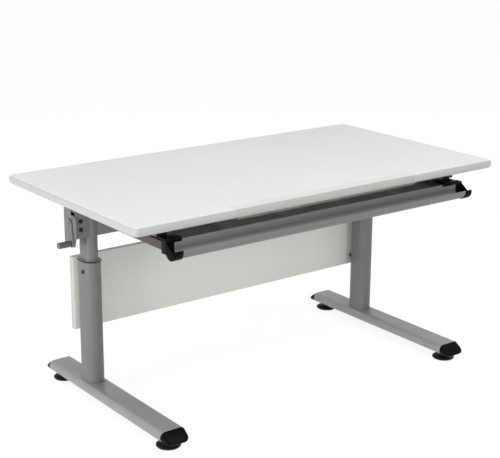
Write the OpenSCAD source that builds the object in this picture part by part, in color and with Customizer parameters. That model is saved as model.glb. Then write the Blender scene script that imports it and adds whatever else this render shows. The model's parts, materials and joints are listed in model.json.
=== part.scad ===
// Height-adjustable drawing desk with a tilting board, a crank drive and a pencil gutter.
// Millimetres, +Z up, +X to the right of the person sitting at the desk, -Y towards that person.
// The origin lies on the floor under the middle of the whole desk.

/* [Board] */
// Width of the board, left to right
board_w = 1200; // [1190:10:1400]
// Depth of the board, front to back
board_d = 650; // [620:5:750]
// Thickness of the board
board_t = 22; // [18:1:25]
// Radius of the board's corners in plan
board_corner = 12; // [4:1:30]
// Length of the clear strip hooked over the front edge
strip_len = 600; // [300:10:900]
// Distance of the strip's middle to the left of the board's middle
strip_offset = 10; // [0:5:60]
// Depth of the strip on top of the board
strip_lap = 31; // [20:1:45]
// Depth of the strip's leg in front of the board, from the board's top
strip_leg = 26; // [20:1:30]
// Thickness of the strip
strip_t = 2; // [1.5:0.5:3]

/* [Height] */
// Height of the board's top as drawn
desk_h = 594; // [580:1:620]
// Lowest height of the board's top
lowest_h = 530; // [525:5:560]
// Highest height of the board's top
highest_h = 790; // [740:5:800]

/* [Tilt] */
// Steepest tilt of the board in degrees
tilt_max = 18; // [10:1:18]
// Distance of each quadrant stay from the middle of the desk
stay_x = 250; // [150:5:300]
// Distance from the middle of the quadrant's band, level with its hinge, to the crossbar
stay_set = 26; // [24:1:32]
// Width of the quadrant's band
stay_band = 20; // [16:1:24]
// Thickness of the quadrant
stay_t = 6; // [5:1:8]

/* [Legs] */
// Distance between the middles of the two columns
column_span = 974; // [940:2:980]
// Distance of the columns behind the board's middle
column_back = 95; // [85:5:115]
// Width of the outer column, left to right
column_w = 50; // [49:1:56]
// Depth of the outer column, front to back
column_l = 72; // [70:1:84]
// Wall of the outer column
column_wall = 2.5; // [2:0.5:3]
// Width of the inner column
inner_w = 38; // [37:0.5:39]
// Depth of the inner column
inner_l = 58; // [56:1:60]
// Wall of the inner column
inner_wall = 2; // [1.5:0.5:2]
// Width of a floor beam
foot_w = 74; // [72:2:90]
// Height of a floor beam
foot_h = 29; // [28:1:36]
// Wall of a floor beam
foot_wall = 3; // [2:0.5:4]
// Gap between a floor beam and the floor
foot_gap = 21; // [20:1:24]
// Reach of a floor beam in front of the board's middle, without its end cap
foot_front = 296; // [292:1:300]
// Reach of a floor beam behind the board's middle, without its end cap
foot_rear = 277; // [275:1:300]
// Length of a floor beam's end cap
cap_len = 32; // [26:1:36]
// Radius of a glide
glide_r = 32; // [20:1:34]
// Distance of the front glides in front of the board's middle
glide_front = 277; // [262:1:278]
// Distance of the rear glides behind the board's middle
glide_rear = 256; // [240:1:258]

/* [Modesty panel] */
// Height of the panel
panel_h = 206; // [180:2:206]
// Thickness of the panel
panel_t = 16; // [12:1:19]
// Height of the panel's lower edge above the floor
panel_z0 = 185; // [150:1:185]
// Length of the spacers between the columns and the panel
spacer_len = 11; // [8:1:20]

/* [Drive] */
// Depth of the crossbar, front to back
crossbar_d = 52; // [50:1:56]
// Height of the crossbar
crossbar_h = 74; // [70:1:74]
// Wall of the crossbar
crossbar_wall = 3; // [2:0.5:4]
// Height of the cross shaft above the crossbar's lower face
shaft_rise = 35; // [32:1:38]
// Radius of the cross shaft
shaft_r = 5; // [4:0.5:5.5]
// Radius of the lead screws
spindle_r = 7; // [6:0.5:7.5]
// Distance from the shaft to the crank's grip
crank_throw = 50; // [45:1:55]
// Forward lean of the crank as drawn, in degrees
crank_lean = 12; // [0:1:20]
// Length of the crank's grip
grip_len = 37; // [30:1:38]
// Radius of the crank's grip
grip_r = 8.5; // [7:0.5:10]

/* [Arms and drawer] */
// Width of a support arm
arm_w = 30; // [28:1:32]
// Height of a support arm
arm_h = 20; // [18:1:24]
// Gap between the arms and the board
arm_gap = 8; // [8:1:12]
// Setback of the support arms from the board's rear edge
arm_setback = 45; // [30:5:80]
// Distance of the rubber buffers in front of the arms' rear ends
buffer_set = 30; // [20:5:60]
// Setback of the drawer's front from the board's front edge
drawer_setback = 27; // [22:1:30]
// Depth of the drawer behind its front
drawer_d = 268; // [220:2:270]
// Height of the drawer's sides
drawer_h = 22; // [20:1:30]
// Number of dividers in the tray
divider_count = 4; // [2:1:6]
// Outer radius of the gutter's trough
gutter_r = 21; // [18:0.5:24]
// Wall of the gutter
gutter_t = 2.5; // [2:0.5:3]

/* [Hidden] */
$fn = 64;

// Clearances: fixed parts, turning fits, sliding parts and end stops
fit_gap = 0.1;
run_gap = 0.05;
slide_gap = 0.3;
stop_gap = 3;

// Board and the overhang of the gutter, which sets where the board lies front to back
gutter_overhang = 2 * gutter_r - drawer_setback;
board_y = gutter_overhang / 2;
board_front = board_y - board_d / 2;
board_rear = board_y + board_d / 2;
board_z0 = desk_h - board_t;
drawer_y0 = board_front + drawer_setback;
drawer_y1 = drawer_y0 + drawer_d;

// Support arms and the tilt hinge
arm_z1 = board_z0 - arm_gap;
arm_z0 = arm_z1 - arm_h;
arm_wall = 2;
arm_ahead = 10;
arm_rear = board_rear - arm_setback;
arm_plug_t = 3;
arm_plug_len = 3;
tab_back = 32;
tab_gap = 3;
arm_front = drawer_y0 + tab_back + tab_gap + arm_plug_t;
hinge_y = arm_front + arm_ahead;
hinge_z = arm_z0 + arm_h / 2;
pin_r = 4;
ear_r = 9;
ear_t = 3;
ear_gap = 0.5;
ear_x = arm_w / 2 + ear_gap;
bracket_t = 3;
bracket_back = 40;
buffer_r = 9;
buffer_y = arm_rear - buffer_set;

// Columns and lift
column_x = column_span / 2;
column_y = board_y + column_back;
lift_down = desk_h - lowest_h;
lift_up = highest_h - desk_h;
bar_drop = 7;
bar_z1 = arm_z0 - bar_drop;
bar_z0 = bar_z1 - crossbar_h;
bar_front = column_y - crossbar_d / 2;
collar_z1 = bar_z0 - lift_down - stop_gap;
collar_lip = 4;
collar_over = 2;
outer_z1 = collar_z1 - collar_lip;
bore_w = column_w - 2 * column_wall;
bore_l = column_l - 2 * column_wall;
core_w = inner_w - 2 * inner_wall;
core_l = inner_l - 2 * inner_wall;
collar_screw_r = 3;
collar_screw_head_r = 5;
collar_screw_head_t = 3;
collar_screw_drop = 27;
collar_screw_ahead = 10;
collar_screw_y = column_y - collar_screw_ahead;
collar_screw_z = outer_z1 - collar_screw_drop;

// Floor beams, their end caps and the glides under them
foot_z0 = foot_gap;
foot_z1 = foot_z0 + foot_h;
foot_mid = foot_z0 + foot_h / 2;
foot_y0 = board_y - foot_front;
foot_y1 = board_y + foot_rear;
cap_plug = 6;
cap_round = 22;
cap_nose = 6;
nose_over = 0.5;
nose_dip = 0.02;
cap_reach = norm([cap_len - cap_nose, foot_h - cap_nose]);
cap_fall = atan2(foot_h - cap_nose, cap_len - cap_nose) - asin(cap_nose / cap_reach);
base_t = 6;
bush_insert_r = 9;
bush_seat_r = 14;
bush_seat_t = 2.5;
bush_h = 14;
stem_r = 5;
stem_room = 4;
glide_places = [board_y - glide_front, board_y + glide_rear];

// Lead screw drive
shaft_z = bar_z0 + shaft_rise;
shaft_hole_r = shaft_r + 2;
inner_z0 = foot_z1 + base_t + lift_down + stop_gap;
guide_h = (outer_z1 - inner_z0 - lift_up - stop_gap) / 2;
nut_z0 = inner_z0 + lift_up;
nut_h = 20;
nut_r = 13;
post_r = 11;
post_wall = 2.5;
journal_r = 5;
block_t = 16;
block_drop = 36;
block_z0 = shaft_z - block_drop;
block_z1 = block_z0 + block_t;
collar_t = 4;
collar_r = 11;
gear_near = 6;
gear_far = 12;
gear_hub_r = 8;
gear_back = 0.25;
plug_t = 12;
bolt_r = 4;
bolt_head_r = 6.5;
bolt_head_t = 5;
bolt_pitch = 22;
arm_bolt_pitch = 15;

// Modesty panel
panel_over = 25;
panel_y0 = column_y + column_l / 2 + spacer_len;
spacer_r = 7;
panel_screw_r = 3;
panel_head_r = 5.5;
panel_head_t = 3;
panel_screw_low = 27;
panel_screw_high = 31;
panel_screw_z = [panel_z0 + panel_screw_low, panel_z0 + panel_h - panel_screw_high];

// Gear housing, end plate and crank, all measured outwards from the column's middle
housing_len = 32;
housing_x1 = inner_w / 2 + housing_len;
housing_bolt_in = 15;
housing_bolt_x = column_x + housing_x1 - housing_bolt_in;
housing_bolt_drop = 28;
housing_bolt_pitch = 23;
housing_bolt_z = [bar_z1 - housing_bolt_drop, bar_z1 - housing_bolt_drop - housing_bolt_pitch];
plate_t = 3;
plate_x1 = housing_x1 + plate_t;
plate_ahead = 33;
plate_behind = 30;
plate_front = column_y - plate_ahead;
plate_rear = column_y + plate_behind;
plate_below = 23;
plate_drop = 12;
plate_round = 14;
plate_cut = [12, 31];
riser_front = column_y - 6;
riser_above = 14;
bush_r = 8;
bush_flange_r = 11;
bush_flange_t = 4;
bush_past = 0.3;
shaft_past = 3;
crank_gap = bush_past + slide_gap;
crank_x0 = plate_x1 + crank_gap;
crank_t = 3.5;
crank_x1 = crank_x0 + crank_t;
hub_r = 16;
toe_r = 11;
crank_waist = 1;
axle_r = 3;
axle_head_r = 5;
axle_recess = 4;
grip_y = column_y - crank_throw * sin(crank_lean);
grip_z = shaft_z - crank_throw * cos(crank_lean);
grip_x0 = column_x + crank_x1 + 1;
grip_x1 = grip_x0 + grip_len;

// Drawer, measured out from the column's middle where it hangs on the runners
side_t = 2;
side_out = 11;
side_x = column_x + side_out;
flange_w = 19;
runner_t = 2.5;
runner_in = 3.5;
runner_gap = 4;
runner_x0 = column_x - arm_w / 2 - runner_in;
runner_x1 = side_x - side_t - runner_gap;
runner_room = 7.8;
runner_lip_z1 = arm_z0 - runner_t - runner_room;
flange_z0 = runner_lip_z1 + slide_gap;
side_z1 = flange_z0 + side_t;
side_z0 = side_z1 - drawer_h;
runner_setback = 4;
runner_past = 10;
runner_y0 = arm_front + runner_setback;
runner_y1 = drawer_y1 + runner_past;
tray_setback = 18;
tray_front = drawer_y0 + tray_setback;
tray_wall = 2.5;
tray_gap = 1.5;
tray_drop = 2;
tray_z1 = runner_lip_z1 - runner_t - tray_drop;
tray_x = side_x - side_t - tray_gap;

// Gutter: a trough in front of the drawer with a tall back wall, closed by a cap at each end.
// The trough lies a little higher than the caps, which stand out below it.
trough_drop = 54;
trough_y = drawer_y0 - gutter_r;
trough_z = board_z0 - trough_drop;
gutter_lift = 2.5;
lip_rise = 6;
wall_rise = 23;
wall_z1 = trough_z + wall_rise;
shelf_d = 25;
cap_over = 3;
cap_x1 = side_x + cap_over;
cap_w = 24;
gutter_x = cap_x1 - cap_w;
web_t = 4;
web_drop = 5;
tab_short = 21;
tab_long = 52;
tab_past = 4;
tab_left = [gutter_x - tab_short, cap_x1];
tab_right = [gutter_x - tab_long, gutter_x + tab_past];
tab_h = 5;
tab_lip = 2;
cheek_drop = 10;
cheek_back = 17;

// Quadrant stays and their clamps
stay_r = bar_front - stay_set - hinge_y;
clamp_half = 16;
clamp_h = 30;
clamp_ahead = 22;
clamp_z0 = bar_z1 - clamp_h;
clamp_z = bar_z1 - clamp_h / 2;
clamp_y0 = hinge_y + stay_r - clamp_ahead;
lever_y = hinge_y + sqrt(stay_r * stay_r - pow(hinge_z - clamp_z, 2));
stay_low = asin((hinge_z - clamp_z0) / stay_r) + tilt_max + 1;
stay_high = asin((board_z0 - hinge_z) / stay_r);
foot_plate_t = 4;
lever_r = 4;
lever_hub_r = 9;
lever_len = 45;

// Wood screws under the board: two rows behind each hinge and two rows on each stay's plate
screw_r = 2.5;
screw_head_r = 4.5;
screw_head_t = 2;
screw_len = 12;
screw_side = 10;
screw_near = 16;
screw_far = 33;
bracket_rows = [hinge_y + screw_near, hinge_y + screw_far];
stay_plate_y = hinge_y + stay_r;
stay_plate_half = 22;
stay_rows = [stay_plate_y - screw_near, stay_plate_y + screw_near];

// Colours
white = [0.94, 0.94, 0.93];
silver = [0.67, 0.68, 0.69];
alloy = [0.55, 0.55, 0.54];
black = [0.08, 0.08, 0.085];
grey = [0.45, 0.46, 0.44];
steel = [0.6, 0.6, 0.62];
brown_grey = [0.42, 0.39, 0.37];
bronze = [0.72, 0.55, 0.3];
clear = [0.85, 0.88, 0.9, 0.35];

// Turns a drawing of Y and Z into a solid between two places along X
module along_x(x0, x1) {
    translate([x0, 0, 0])
        rotate([90, 0, 90])
            linear_extrude(x1 - x0)
                children();
}

// Turns a drawing of X and Z into a solid between two places along Y
module along_y(y0, y1) {
    translate([0, y1, 0])
        rotate([90, 0, 0])
            linear_extrude(y1 - y0)
                children();
}

// Turns a drawing of X and Y into a solid between two heights
module upright(z0, z1) {
    translate([0, 0, z0])
        linear_extrude(z1 - z0)
            children();
}

// A round bar between two places along X, centred on a given Y and Z
module bar_x(x0, x1, y, z, r) {
    along_x(x0, x1)
        translate([y, z])
            circle(r);
}

// A round bar between two places along Y, centred on a given X and Z
module bar_y(y0, y1, x, z, r) {
    along_y(y0, y1)
        translate([x, z])
            circle(r);
}

// A rectangle given by its limits
module area(x0, x1, y0, y1) {
    translate([x0, y0])
        square([x1 - x0, y1 - y0]);
}

// Draws what follows on the right and again, mirrored, on the left
module both_sides() {
    children();
    mirror([1, 0, 0])
        children();
}

// Draws what follows on the left only
module left_side() {
    mirror([1, 0, 0])
        children();
}

// A flat oval: two half circles joined by a rectangle
module oval(w, l) {
    straight = l - w;
    square([w, straight], center = true);
    for (s = [-1, 1])
        translate([0, s * straight / 2])
            circle(w / 2);
}

// A rectangle about the middle with round corners
module round_rect(w, d, r) {
    square([w - 2 * r, d], center = true);
    square([w, d - 2 * r], center = true);
    for (sx = [-1, 1])
        for (sy = [-1, 1])
            translate([sx * (w / 2 - r), sy * (d / 2 - r)])
                circle(r);
}

// A flat oval tube on the column's axis, on the right
module oval_tube(z0, z1, w, l, hole_w, hole_l) {
    upright(z0, z1)
        translate([column_x, column_y])
            difference() {
                oval(w, l);
                oval(hole_w, hole_l);
            }
}

// A flat oval block on the column's axis, on the right
module oval_block(z0, z1, w, l) {
    upright(z0, z1)
        translate([column_x, column_y])
            oval(w, l);
}

// An upright round bar beside the column's axis, on the right
module bar_z(z0, z1, r, dx = 0, dy = 0) {
    translate([column_x + dx, column_y + dy, z0])
        cylinder(h = z1 - z0, r = r);
}

// Board

module wood_screw_places() {
    for (dx = [-screw_side, screw_side]) {
        for (y = bracket_rows)
            translate([column_x + dx, y, 0])
                children();
        for (y = stay_rows)
            translate([stay_x + dx, y, 0])
                children();
    }
}

module board_top() {
    color(white)
        difference() {
            upright(board_z0, desk_h)
                translate([0, board_y])
                    round_rect(board_w, board_d, board_corner);
            both_sides()
                wood_screw_places()
                    translate([0, 0, board_z0 - 1])
                        cylinder(h = screw_len + 1 + fit_gap, r = screw_r + fit_gap);
        }
}

module board_screws() {
    color(steel)
        both_sides()
            for (dx = [-screw_side, screw_side]) {
                for (y = bracket_rows)
                    wood_screw(column_x + dx, y, board_z0 - bracket_t);
                for (y = stay_rows)
                    wood_screw(stay_x + dx, y, board_z0 - foot_plate_t);
            }
}

module wood_screw(x, y, seat_z) {
    translate([x, y, seat_z - screw_head_t])
        cylinder(h = screw_head_t, r = screw_head_r);
    translate([x, y, seat_z - screw_head_t])
        cylinder(h = board_z0 + screw_len - seat_z + screw_head_t, r = screw_r);
}

module edge_strip() {
    x0 = -strip_len / 2 - strip_offset;
    color(clear)
        along_x(x0, x0 + strip_len) {
            area(board_front - strip_t, board_front + strip_lap, desk_h, desk_h + strip_t);
            area(board_front - strip_t, board_front, desk_h - strip_leg, desk_h + strip_t);
        }
}

// Hinge bracket under the board: a plate with two ears that straddle the support arm
module hinge_bracket() {
    difference() {
        union() {
            translate([column_x - ear_x - ear_t, hinge_y - ear_r, board_z0 - bracket_t])
                cube([2 * (ear_x + ear_t), ear_r + bracket_back, bracket_t]);
            for (x = [column_x - ear_x - ear_t, column_x + ear_x])
                along_x(x, x + ear_t) {
                    translate([hinge_y, hinge_z])
                        circle(ear_r);
                    area(hinge_y - ear_r, hinge_y + ear_r, hinge_z, board_z0 - bracket_t);
                }
        }
        bar_x(column_x - arm_w, column_x + arm_w, hinge_y, hinge_z, pin_r + run_gap);
        wood_screw_places()
            translate([0, 0, board_z0 - bracket_t - 1])
                cylinder(h = bracket_t + 2, r = screw_r + fit_gap);
    }
}

module hinge_bracket_left() {
    color(steel)
        left_side()
            hinge_bracket();
}

module hinge_bracket_right() {
    color(steel)
        hinge_bracket();
}

// The ring that the quadrant's band follows, wider by a given gap on both edges
module stay_ring(gap) {
    translate([hinge_y, hinge_z])
        difference() {
            circle(stay_r + stay_band / 2 + gap, $fn = 200);
            circle(stay_r - stay_band / 2 - gap, $fn = 200);
        }
}

// Quadrant stay: a curved band about the tilt hinge, hung from a plate under the board
module tilt_stay() {
    reach = 2 * stay_r;
    difference() {
        union() {
            along_x(stay_x - stay_t / 2, stay_x + stay_t / 2)
                intersection() {
                    stay_ring(0);
                    translate([hinge_y, hinge_z])
                        polygon([
                            [0, 0],
                            [reach * cos(stay_low), -reach * sin(stay_low)],
                            [reach, 0],
                            [reach * cos(stay_high), reach * sin(stay_high)]
                        ]);
                    area(hinge_y, hinge_y + reach, hinge_z - reach, board_z0 - foot_plate_t / 2);
                }
            translate([stay_x - clamp_half, stay_plate_y - stay_plate_half, board_z0 - foot_plate_t])
                cube([2 * clamp_half, 2 * stay_plate_half, foot_plate_t]);
        }
        wood_screw_places()
            translate([0, 0, board_z0 - foot_plate_t - 1])
                cylinder(h = foot_plate_t + 2, r = screw_r + fit_gap);
    }
}

module tilt_stay_left() {
    color(steel)
        left_side()
            tilt_stay();
}

module tilt_stay_right() {
    color(steel)
        tilt_stay();
}

// Floor beams

// Section of a floor beam, a flat oval on its side, drawn smaller all round by an inset
module foot_section(inset) {
    translate([0, foot_mid])
        rotate(90)
            oval(foot_h - 2 * inset, foot_w - 2 * inset);
}

module foot_beam() {
    difference() {
        translate([column_x, 0, 0])
            along_y(foot_y0, foot_y1)
                difference() {
                    foot_section(0);
                    foot_section(foot_wall);
                }
        for (dy = [-bolt_pitch, bolt_pitch])
            bar_z(foot_z1 - foot_wall - 1, foot_z1 + 1, bolt_r + fit_gap, 0, dy);
        for (y = glide_places)
            translate([column_x, y, foot_z0 - 1])
                cylinder(h = foot_wall + 2, r = bush_insert_r + fit_gap);
    }
}

module foot_beam_left() {
    color(silver)
        left_side()
            foot_beam();
}

module foot_beam_right() {
    color(silver)
        foot_beam();
}

// Plan of an end cap, with two wide round corners at the tip
module cap_plan() {
    half = foot_w / 2 + nose_over;
    tip = -cap_len;
    area(tip + cap_round, 1, -half, half);
    area(tip, 1, cap_round - half, half - cap_round);
    for (s = [-1, 1])
        translate([tip + cap_round, s * (half - cap_round)])
            circle(cap_round);
}

// Side view of an end cap: its top falls from the beam's top to a low round nose
module cap_side() {
    nose = [cap_nose - cap_len, foot_z0 + cap_nose - nose_over];
    slope_end = nose + (cap_nose - nose_dip) * [-sin(cap_fall), cos(cap_fall)];
    polygon([
        [1, foot_z0 - 1],
        [1, foot_z1 + tan(cap_fall)],
        [0, foot_z1],
        slope_end,
        nose,
        [nose[0], foot_z0 - 1]
    ]);
    translate(nose)
        circle(cap_nose);
}

// End cap of a floor beam: a plug in the beam and a flush body that falls away to the tip
module foot_cap(end, out) {
    translate([column_x, end, 0])
        mirror([0, out > 0 ? 1 : 0, 0]) {
            along_y(0, cap_plug)
                foot_section(foot_wall + fit_gap);
            intersection() {
                along_y(-cap_len - 1, 0)
                    foot_section(0);
                along_x(-foot_w, foot_w)
                    cap_side();
                upright(0, foot_z1 + 1)
                    rotate(90)
                        cap_plan();
            }
        }
}

module foot_caps_front() {
    color(black)
        both_sides()
            foot_cap(foot_y0, -1);
}

module foot_caps_rear() {
    color(black)
        both_sides()
            foot_cap(foot_y1, 1);
}

// Threaded bush in the floor of a beam
module glide_bush(y) {
    translate([column_x, y, foot_z0 - bush_seat_t])
        difference() {
            union() {
                cylinder(h = bush_h, r = bush_insert_r);
                cylinder(h = bush_seat_t, r = bush_seat_r);
            }
            translate([0, 0, -1])
                cylinder(h = bush_h + 2, r = stem_r + run_gap);
        }
}

module glide_bushes() {
    color(steel)
        both_sides()
            for (y = glide_places)
                glide_bush(y);
}

// Levelling glide: a round pad that rises to a hub, with a threaded stem
module glide(y) {
    hub_z = foot_z0 - bush_seat_t - slide_gap;
    stem_z = foot_z1 - foot_wall - bolt_head_t - stem_room;
    translate([column_x, y, 0])
        rotate_extrude()
            polygon([
                [0, 0],
                [glide_r - 2, 0],
                [glide_r, 2],
                [glide_r, 4.5],
                [glide_r - 3, 6.5],
                [12, 8.5],
                [11, hub_z],
                [stem_r, hub_z],
                [stem_r, stem_z],
                [0, stem_z]
            ]);
}

module glide_front_left() {
    color(black)
        left_side()
            glide(glide_places[0]);
}

module glide_front_right() {
    color(black)
        glide(glide_places[0]);
}

module glide_rear_left() {
    color(black)
        left_side()
            glide(glide_places[1]);
}

module glide_rear_right() {
    color(black)
        glide(glide_places[1]);
}

// Outer columns

module outer_column() {
    difference() {
        oval_tube(foot_z1, outer_z1, column_w, column_l, bore_w, bore_l);
        for (z = panel_screw_z)
            bar_y(column_y + column_l / 4, panel_y0, column_x, z, panel_screw_r + fit_gap);
        bar_x(column_x, column_x + column_w, collar_screw_y, collar_screw_z, collar_screw_r + fit_gap);
    }
}

module outer_column_left() {
    color(silver)
        left_side()
            outer_column();
}

module outer_column_right() {
    color(silver)
        outer_column();
}

// Collar on an outer column: a visible rim and a sleeve that guides the inner column
module column_collars() {
    guide_w = inner_w + 2 * slide_gap;
    guide_l = inner_l + 2 * slide_gap;
    color(black)
        both_sides() {
            oval_tube(outer_z1 - guide_h, outer_z1, bore_w - 2 * fit_gap, bore_l - 2 * fit_gap, guide_w, guide_l);
            oval_tube(outer_z1, collar_z1, column_w + 2 * collar_over, column_l + 2 * collar_over, guide_w, guide_l);
        }
}

// Grub screw with a flat head on the outside of each outer column
module collar_screws() {
    face = column_x + column_w / 2;
    color(black)
        both_sides() {
            bar_x(face - column_wall, face + collar_screw_head_t, collar_screw_y, collar_screw_z, collar_screw_r);
            bar_x(face, face + collar_screw_head_t, collar_screw_y, collar_screw_z, collar_screw_head_r);
        }
}

module column_bolts() {
    head_z = foot_z1 - foot_wall - bolt_head_t;
    color(steel)
        both_sides()
            for (dy = [-bolt_pitch, bolt_pitch]) {
                bar_z(head_z, head_z + bolt_head_t, bolt_head_r, 0, dy);
                bar_z(head_z, foot_z1 + base_t, bolt_r, 0, dy);
            }
}

// Post that carries the lead screw's nut, on a base plate in the foot of the column
module nut_posts() {
    color(steel)
        both_sides()
            difference() {
                union() {
                    oval_block(foot_z1, foot_z1 + base_t, bore_w - 2 * fit_gap, bore_l - 2 * fit_gap);
                    bar_z(foot_z1, nut_z0, post_r);
                }
                bar_z(foot_z1 + base_t, nut_z0 + 1, post_r - post_wall);
                for (dy = [-bolt_pitch, bolt_pitch])
                    bar_z(foot_z1 - 1, foot_z1 + base_t + 1, bolt_r + fit_gap, 0, dy);
            }
}

module spindle_nuts() {
    color(bronze)
        both_sides()
            difference() {
                bar_z(nut_z0, nut_z0 + nut_h, nut_r);
                bar_z(nut_z0 - 1, nut_z0 + nut_h + 1, spindle_r + run_gap);
            }
}

// Modesty panel

module modesty_panel() {
    half = column_x + panel_over;
    color(white)
        difference() {
            translate([-half, panel_y0, panel_z0])
                cube([2 * half, panel_t, panel_h]);
            both_sides()
                for (z = panel_screw_z)
                    bar_y(panel_y0 - 1, panel_y0 + panel_t + 1, column_x, z, panel_screw_r + fit_gap);
        }
}

module panel_spacers() {
    color(black)
        both_sides()
            for (z = panel_screw_z)
                difference() {
                    bar_y(panel_y0 - spacer_len, panel_y0, column_x, z, spacer_r);
                    bar_y(panel_y0 - spacer_len - 1, panel_y0 + 1, column_x, z, panel_screw_r + fit_gap);
                }
}

module panel_screws() {
    back = panel_y0 + panel_t;
    tip = column_y + column_l / 2 - column_wall;
    color(steel)
        both_sides()
            for (z = panel_screw_z) {
                bar_y(tip, back + panel_head_t, column_x, z, panel_screw_r);
                bar_y(back, back + panel_head_t, column_x, z, panel_head_r);
            }
}

// Lifting frame

module inner_column() {
    difference() {
        oval_tube(inner_z0, arm_z0, inner_w, inner_l, core_w, core_l);
        bar_x(column_x - inner_w, column_x + inner_w, column_y, shaft_z, shaft_hole_r);
    }
}

module inner_column_left() {
    color(silver)
        left_side()
            inner_column();
}

module inner_column_right() {
    color(silver)
        inner_column();
}

// Guide shoe round the lower end of each inner column
module guide_shoes() {
    color(black)
        both_sides()
            oval_tube(
                inner_z0,
                inner_z0 + guide_h,
                bore_w - 2 * slide_gap,
                bore_l - 2 * slide_gap,
                inner_w + 2 * fit_gap,
                inner_l + 2 * fit_gap
            );
}

// Block in each inner column that carries the lead screw's journal
module bearing_blocks() {
    color(steel)
        both_sides()
            difference() {
                oval_block(block_z0, block_z1, core_w - 2 * fit_gap, core_l - 2 * fit_gap);
                bar_z(block_z0 - 1, block_z1 + 1, journal_r + run_gap);
            }
}

module head_plugs() {
    color(steel)
        both_sides()
            difference() {
                oval_block(arm_z0 - plug_t, arm_z0, core_w - 2 * fit_gap, core_l - 2 * fit_gap);
                for (dy = [-arm_bolt_pitch, arm_bolt_pitch])
                    bar_z(arm_z0 - plug_t - 1, arm_z0 + 1, bolt_r + fit_gap, 0, dy);
            }
}

// Rectangular tube section of the crossbar, also used for the gear housings
module crossbar_section() {
    translate([column_y, bar_z0 + crossbar_h / 2])
        difference() {
            square([crossbar_d, crossbar_h], center = true);
            square([crossbar_d - 2 * crossbar_wall, crossbar_h - 2 * crossbar_wall], center = true);
        }
}

// The space of the inner column, cut from the tubes that are welded to its flanks
module column_room() {
    oval_block(bar_z0 - 1, bar_z1 + 1, inner_w + 2 * fit_gap, inner_l + 2 * fit_gap);
}

module crossbar() {
    color(silver)
        difference() {
            along_x(-column_x, column_x)
                crossbar_section();
            both_sides()
                column_room();
        }
}

module gear_housing() {
    difference() {
        along_x(column_x, column_x + housing_x1)
            crossbar_section();
        column_room();
        for (z = housing_bolt_z)
            bar_y(bar_front - 1, bar_front + crossbar_wall + 1, housing_bolt_x, z, panel_screw_r + fit_gap);
    }
}

module gear_housing_left() {
    color(silver)
        left_side()
            gear_housing();
}

module gear_housing_right() {
    color(silver)
        gear_housing();
}

module housing_bolts() {
    color(black)
        both_sides()
            for (z = housing_bolt_z) {
                bar_y(bar_front - panel_head_t, bar_front + crossbar_wall, housing_bolt_x, z, panel_screw_r);
                bar_y(bar_front - panel_head_t, bar_front, housing_bolt_x, z, panel_head_r);
            }
}

// End plate of the housing: a round upper front corner and a riser behind it, up to the arm
module plate_outline(below) {
    low = bar_z0 - below;
    top = bar_z1 - plate_drop;
    area(plate_front, plate_rear, low, top - plate_round);
    area(plate_front + plate_round, plate_rear, low, top);
    area(riser_front, plate_rear, low, bar_z1 + riser_above);
    translate([plate_front + plate_round, top - plate_round])
        circle(plate_round);
}

module end_plate(below) {
    difference() {
        along_x(column_x + housing_x1, column_x + plate_x1)
            plate_outline(below);
        bar_x(column_x + housing_x1 - 1, column_x + plate_x1 + 1, column_y, shaft_z, bush_r + fit_gap);
    }
}

// The left plate reaches lower, behind the crank, and its lower front corner is cut off
module end_plate_left() {
    low = bar_z0 - plate_below;
    color(silver)
        left_side()
            difference() {
                end_plate(plate_below);
                along_x(column_x + housing_x1 - 1, column_x + plate_x1 + 1)
                    polygon([
                        [plate_front - 1, low - 1],
                        [plate_front + plate_cut[0], low - 1],
                        [plate_front + plate_cut[0], low],
                        [plate_front, low + plate_cut[1]],
                        [plate_front - 1, low + plate_cut[1]]
                    ]);
            }
}

module end_plate_right() {
    color(silver)
        end_plate(0);
}

module shaft_bushes() {
    x0 = column_x + housing_x1 - bush_flange_t;
    x1 = column_x + plate_x1 + bush_past;
    color(bronze)
        both_sides()
            difference() {
                union() {
                    bar_x(x0, x0 + bush_flange_t, column_y, shaft_z, bush_flange_r);
                    bar_x(x0, x1, column_y, shaft_z, bush_r);
                }
                bar_x(x0 - 1, x1 + 1, column_y, shaft_z, shaft_r + run_gap);
            }
}

module support_arm() {
    difference() {
        translate([column_x, 0, 0])
            along_y(arm_front, arm_rear)
                difference() {
                    area(-arm_w / 2, arm_w / 2, arm_z0, arm_z1);
                    area(arm_wall - arm_w / 2, arm_w / 2 - arm_wall, arm_z0 + arm_wall, arm_z1 - arm_wall);
                }
        bar_x(column_x - arm_w, column_x + arm_w, hinge_y, hinge_z, pin_r + run_gap);
        for (dy = [-arm_bolt_pitch, arm_bolt_pitch])
            bar_z(arm_z0 - 1, arm_z1 + 1, bolt_r + fit_gap, 0, dy);
    }
}

module support_arm_left() {
    color(silver)
        left_side()
            support_arm();
}

module support_arm_right() {
    color(silver)
        support_arm();
}

// Plug in each end of a support arm
module arm_plugs() {
    room = arm_wall + fit_gap;
    color(black)
        both_sides()
            for (end = [[arm_front, -1], [arm_rear, 1]])
                translate([column_x, end[0], 0])
                    mirror([0, end[1] > 0 ? 1 : 0, 0]) {
                        along_y(-arm_plug_t, 0)
                            area(-arm_w / 2, arm_w / 2, arm_z0, arm_z1);
                        along_y(0, arm_plug_len)
                            area(room - arm_w / 2, arm_w / 2 - room, arm_z0 + room, arm_z1 - room);
                    }
}

module arm_bolts() {
    color(steel)
        both_sides()
            for (dy = [-arm_bolt_pitch, arm_bolt_pitch]) {
                bar_z(arm_z1, arm_z1 + bolt_head_t, bolt_head_r, 0, dy);
                bar_z(arm_z0 - plug_t, arm_z1 + bolt_head_t, bolt_r, 0, dy);
            }
}

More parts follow.
